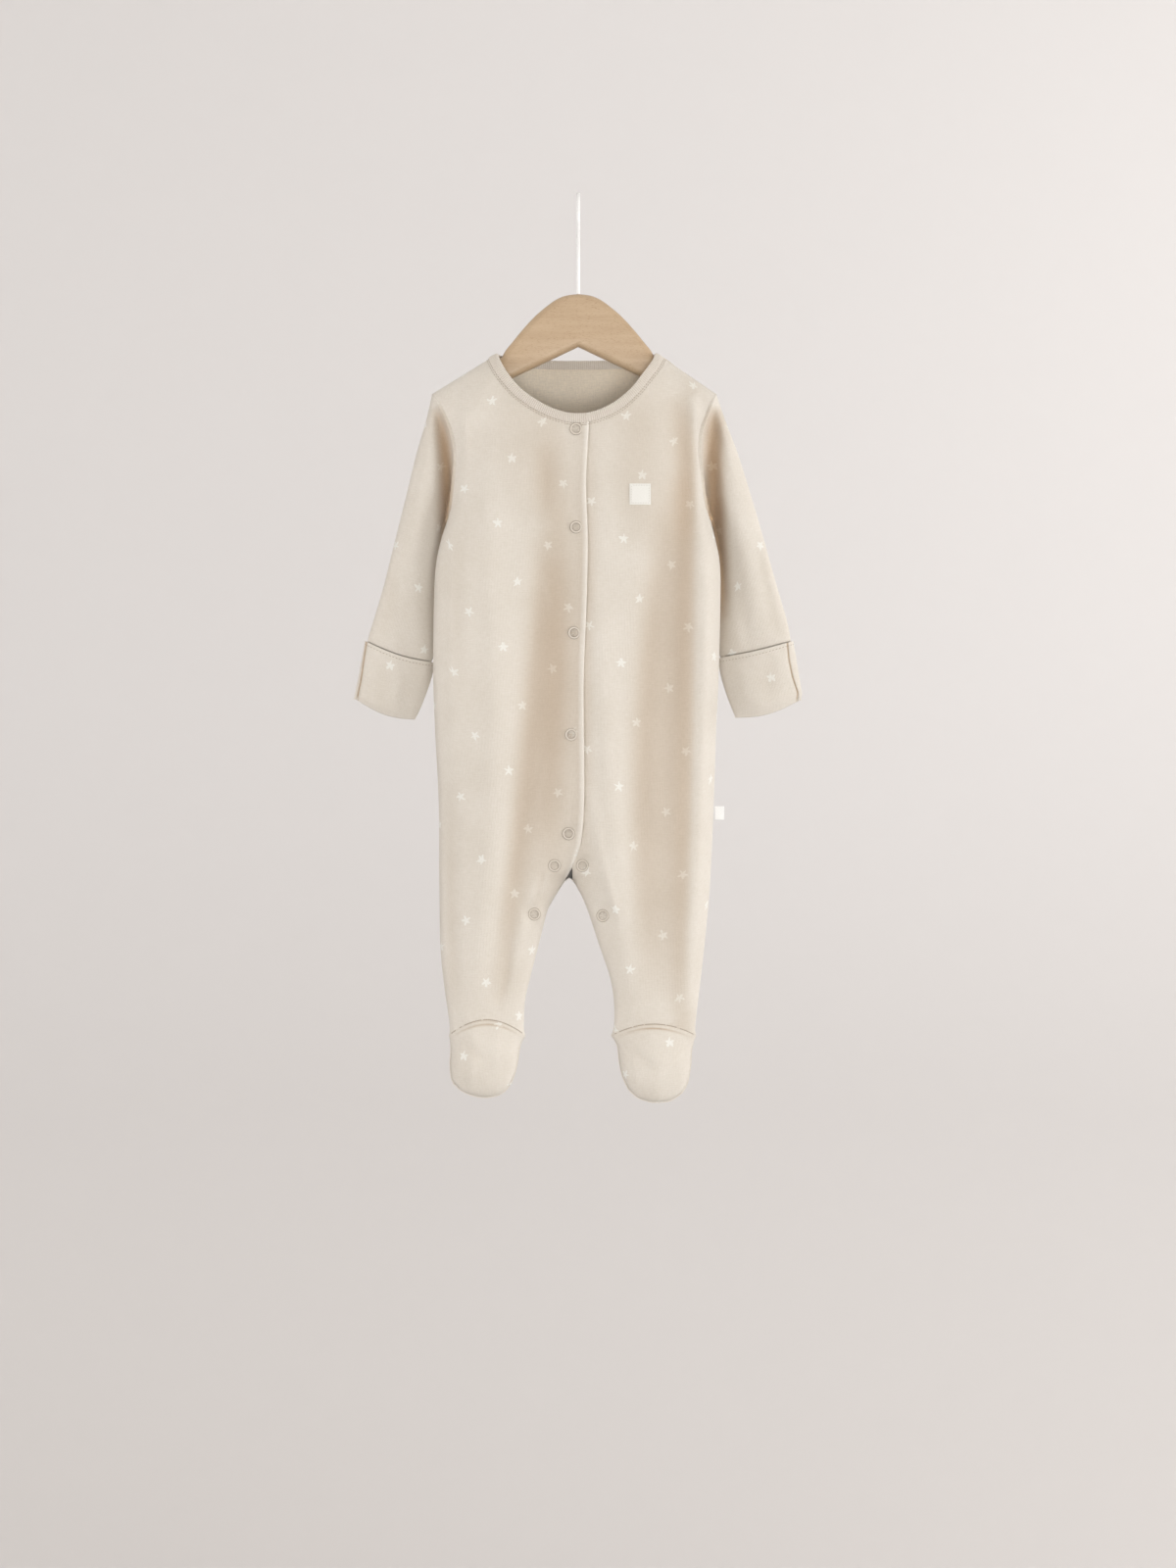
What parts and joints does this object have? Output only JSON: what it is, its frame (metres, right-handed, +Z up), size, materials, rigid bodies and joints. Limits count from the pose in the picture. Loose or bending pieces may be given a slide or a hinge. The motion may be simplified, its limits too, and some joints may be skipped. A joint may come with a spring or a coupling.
{
  "type": "footed baby sleepsuit on child hanger",
  "caption": "Long-sleeved footed baby sleepsuit with folded-over mitts, a ribbed neck and front ring snaps, hanging flat on a wooden child hanger with a wire hook.",
  "frame": {"origin": "inside top of the hook's bend, where it rests on its rail", "axes": "+Z up, -Y out of the suit's front, +X to the wearer's left"},
  "size_m": [0.3362, 0.0544, 0.682],
  "materials": {
    "jersey": "fine cotton interlock, oatmeal with small off-white printed stars",
    "rib": "one by one cotton rib, oatmeal",
    "snap": "ring prong snap, tonal enamel, satin",
    "patch": "woven off-white badge cloth",
    "label": "white satin ribbon, folded",
    "beech": "beech, clear matt lacquer",
    "white_wire": "white plastic-dipped wire, satin"
  },
  "bodies": {
    "root": {"front_right": "jersey", "front_left": "jersey", "back_panel": "jersey", "neck_binding": "rib", "sleeve_right": "jersey", "sleeve_left": "jersey", "mitt_right": "jersey", "mitt_left": "jersey", "foot_upper_right": "jersey", "foot_upper_left": "jersey", "sole_right": "jersey", "sole_left": "jersey", "snap_1": "snap", "snap_2": "snap", "snap_3": "snap", "snap_4": "snap", "snap_5": "snap", "snap_6": "snap", "snap_7": "snap", "snap_8": "snap", "snap_9": "snap", "chest_patch": "patch", "side_label": "label", "hanger_body": "beech", "hanger_hook": "white_wire"}
  },
  "joints": []
}
